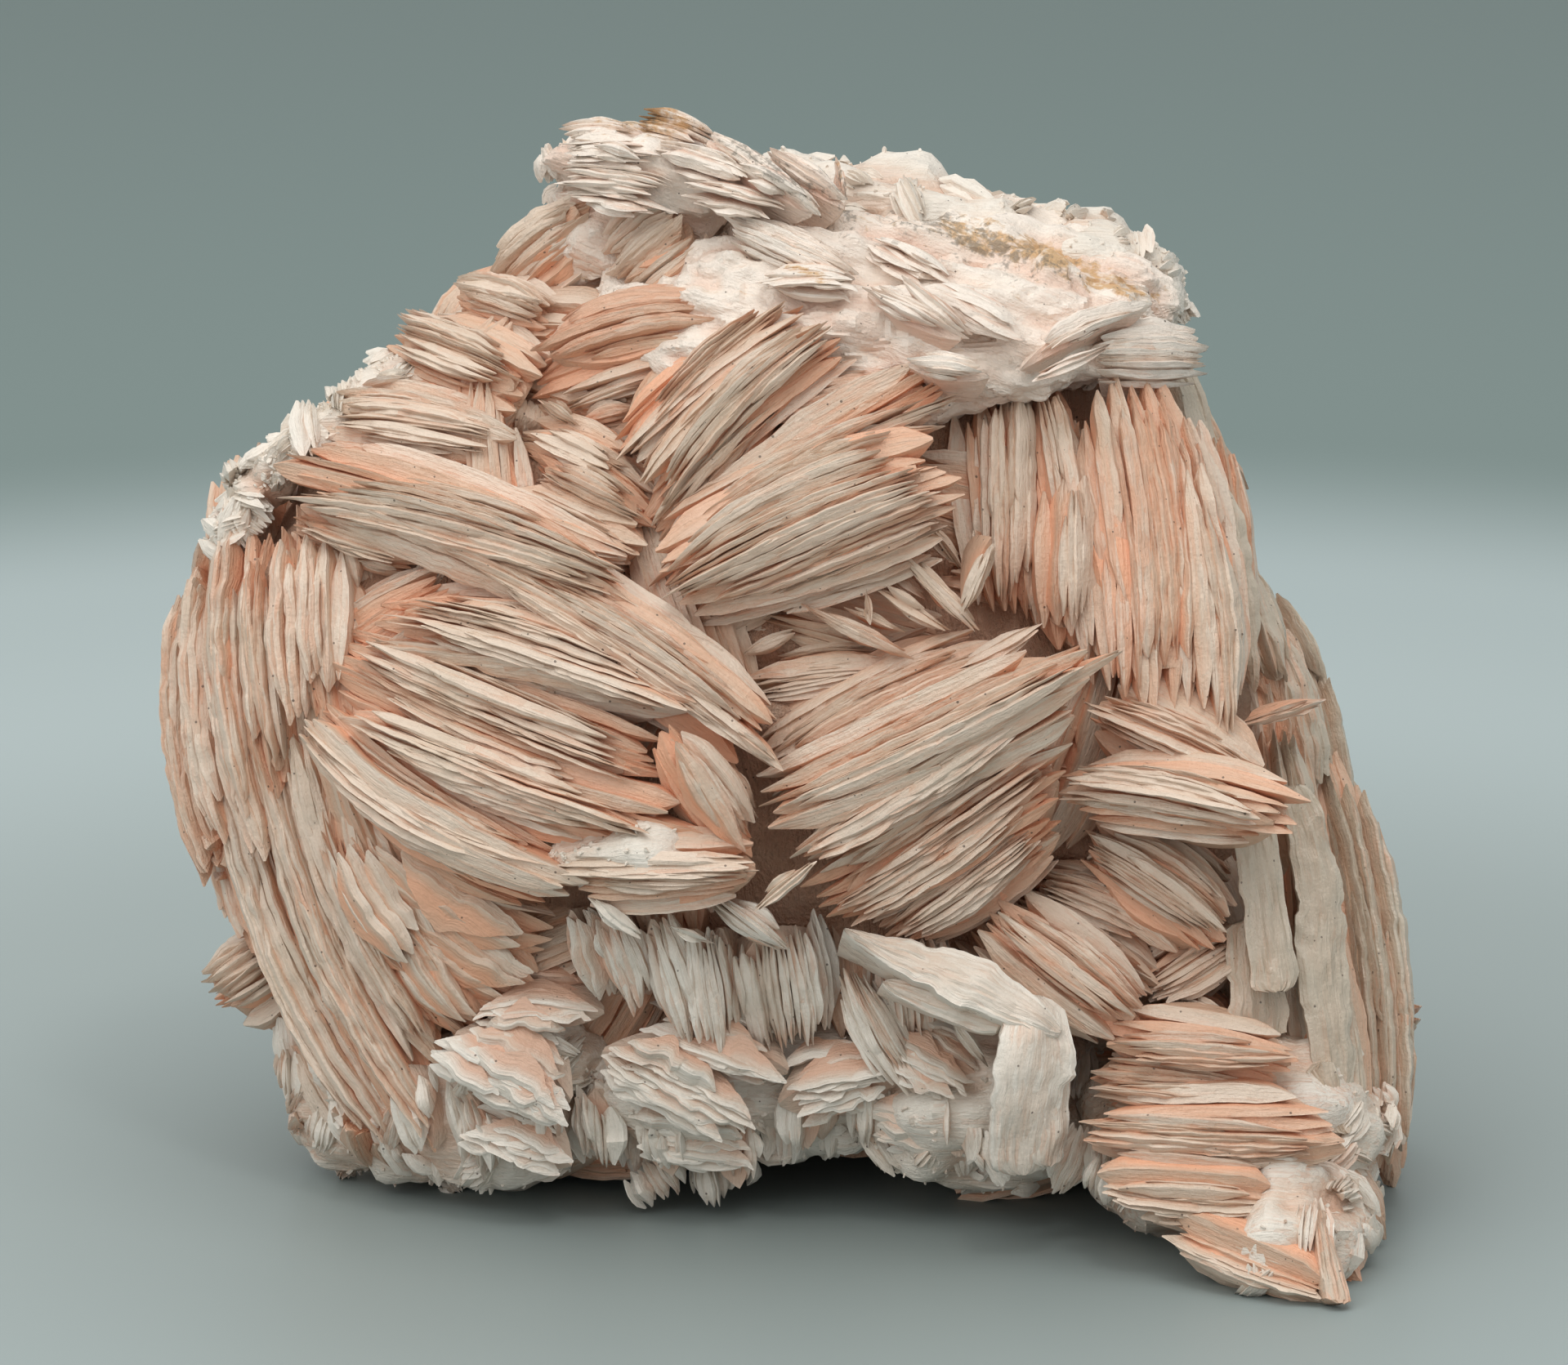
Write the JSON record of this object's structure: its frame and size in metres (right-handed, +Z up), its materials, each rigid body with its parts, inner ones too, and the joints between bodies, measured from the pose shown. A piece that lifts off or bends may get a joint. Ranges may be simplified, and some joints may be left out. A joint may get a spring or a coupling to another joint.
{
  "type": "pink barite crystal cluster",
  "caption": "Free-standing mineral specimen: packets of thin tabular barite blades that cross each other and grow from one mass, flat only where it rests.",
  "frame": {"origin": "middle of the bounding box, on the surface that the cluster rests on", "axes": "+Z up; the bladed show face looks to -Y and leans back 15 degrees; +X to the right when it is seen from the front"},
  "size_m": [0.11, 0.073, 0.0939],
  "materials": {
    "pink_barite": "pale flesh-pink barite blades with white edges, a dull pearly lustre and salmon crevices"
  },
  "bodies": {
    "root": {"barite_cluster": "pink_barite"}
  },
  "joints": []
}
